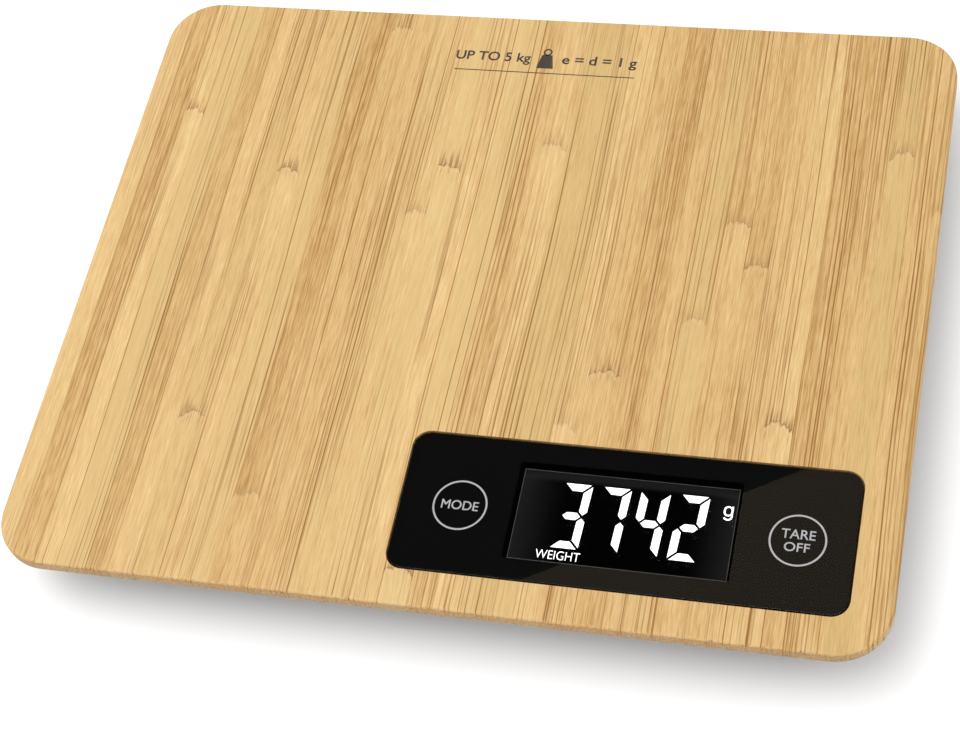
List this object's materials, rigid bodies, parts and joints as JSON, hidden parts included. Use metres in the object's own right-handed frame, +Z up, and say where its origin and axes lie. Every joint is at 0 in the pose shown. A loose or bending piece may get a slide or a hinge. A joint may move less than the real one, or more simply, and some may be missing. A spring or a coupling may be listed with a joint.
{
  "type": "kitchen scale",
  "caption": "Slim digital kitchen scale: bamboo platform with a glass-covered display and touch keys, on a plastic case with load-cell feet and a battery door.",
  "frame": {"origin": "on the surface the scale stands on, under the middle of the board", "axes": "+X to the right, +Y to the back, +Z up; the display and the touch keys are at the front right"},
  "size_m": [0.22, 0.18, 0.022],
  "materials": {
    "bamboo": "satin, side-pressed strips",
    "lens_glass": "polished",
    "mask_print": "printed black film",
    "tape": "double-sided tape",
    "case_plastic": "fine moulded texture",
    "foot_plastic": "moulded",
    "pad_rubber": "matt, non-slip",
    "cell_steel": "stamped spring steel",
    "screw_steel": "zinc plated",
    "gauge_film": "amber film",
    "circuit_resist": "green solder resist",
    "chip_epoxy": "moulded epoxy",
    "component_ceramic": "ceramic",
    "header_nylon": "natural nylon",
    "lcd_panel": "dark negative display",
    "guide_acrylic": "frosted acrylic",
    "holder_plastic": "moulded",
    "led_body": "white package",
    "zebra_rubber": "layered elastomer",
    "spring_steel": "plated spring wire",
    "battery_can": "plain wrapped cell",
    "contact_nickel": "nickel plated",
    "wire_insulation": "insulated wire"
  },
  "bodies": {
    "platform": {"bamboo_platform": "bamboo", "platform_tape": "tape", "lens_tape": "tape", "display_lens": "lens_glass", "lens_mask": "mask_print", "carrier_frame": "case_plastic", "lower_housing": "case_plastic", "case_screws": "screw_steel", "load_cell_screws": "screw_steel", "circuit_board_screws": "screw_steel", "load_cell_front_left": "cell_steel", "foot_front_left": "foot_plastic", "foot_pad_front_left": "pad_rubber", "foot_screw_front_left": "screw_steel", "load_cell_lead_front_left": "wire_insulation", "load_cell_front_right": "cell_steel", "foot_front_right": "foot_plastic", "foot_pad_front_right": "pad_rubber", "foot_screw_front_right": "screw_steel", "load_cell_lead_front_right": "wire_insulation", "load_cell_back_left": "cell_steel", "foot_back_left": "foot_plastic", "foot_pad_back_left": "pad_rubber", "foot_screw_back_left": "screw_steel", "load_cell_lead_back_left": "wire_insulation", "load_cell_back_right": "cell_steel", "foot_back_right": "foot_plastic", "foot_pad_back_right": "pad_rubber", "foot_screw_back_right": "screw_steel", "load_cell_lead_back_right": "wire_insulation", "strain_gauges": "gauge_film", "lcd_glass": "lcd_panel", "light_guide": "guide_acrylic", "lcd_holder": "holder_plastic", "backlight_leds": "led_body", "lcd_connector": "zebra_rubber", "main_circuit_board": "circuit_resist", "microcontroller": "chip_epoxy", "small_components": "component_ceramic", "wire_headers": "header_nylon", "touch_spring_mode": "spring_steel", "touch_spring_tare": "spring_steel", "battery_springs": "spring_steel", "battery_cell_1": "battery_can", "battery_cell_2": "battery_can", "battery_cell_3": "battery_can", "battery_plates": "contact_nickel", "battery_lead_positive": "wire_insulation", "battery_lead_negative": "wire_insulation"},
    "battery_door": {"battery_door": "case_plastic"}
  },
  "joints": [
    {"name": "battery_door_hinge", "type": "hinge", "parent": "platform", "child": "battery_door", "pos_m": [0, 0.0404, 0.0046], "axis": [1, 0, 0], "range_deg": [0, 75]}
  ]
}
